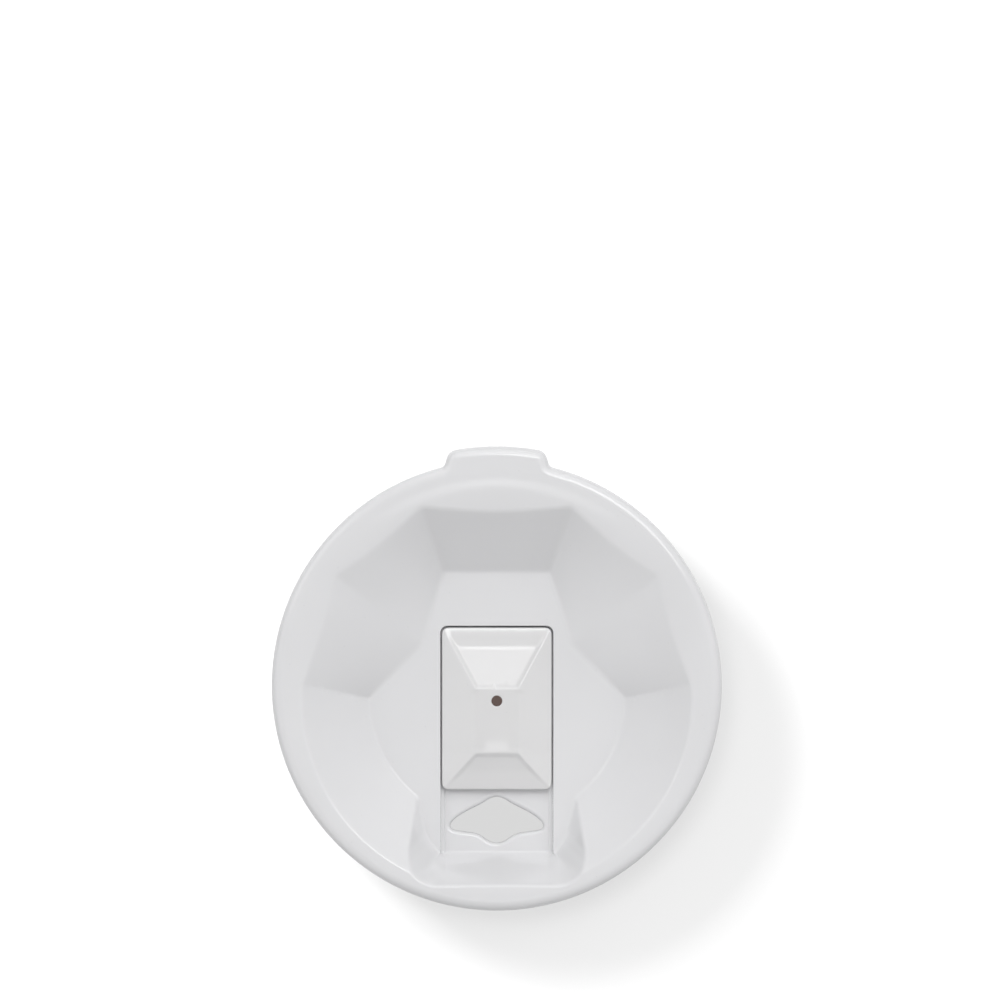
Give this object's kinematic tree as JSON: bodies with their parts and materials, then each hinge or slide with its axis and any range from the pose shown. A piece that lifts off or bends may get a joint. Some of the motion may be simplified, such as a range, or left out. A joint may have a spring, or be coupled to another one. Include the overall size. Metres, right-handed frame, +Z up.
{
  "type": "mug lid with sliding gate",
  "caption": "Round white mug lid with a faceted dish, thumb tab, drinking hole, sliding gate and a silicone sealing ring on its plug.",
  "frame": {"origin": "centre of the bounding box on the surface that the plug stands on", "axes": "+Z up along the plug's axis, +Y from the drinking hole at the front towards the thumb tab at the back, +X to the right seen from the front"},
  "size_m": [0.092, 0.0948, 0.019],
  "materials": {
    "shell_plastic": "glossy moulded white plastic",
    "slider_plastic": "glossy moulded white plastic, slightly warmer",
    "ring_silicone": "matt pale silicone"
  },
  "bodies": {
    "lid": {"lid_shell": "shell_plastic", "sealing_ring": "ring_silicone"},
    "gate": {"slider": "slider_plastic", "slider_keeper": "slider_plastic"}
  },
  "joints": [
    {"name": "gate_slide", "type": "slide", "parent": "lid", "child": "gate", "axis": [0, -1, 0], "range_m": [0, 0.0127]}
  ]
}
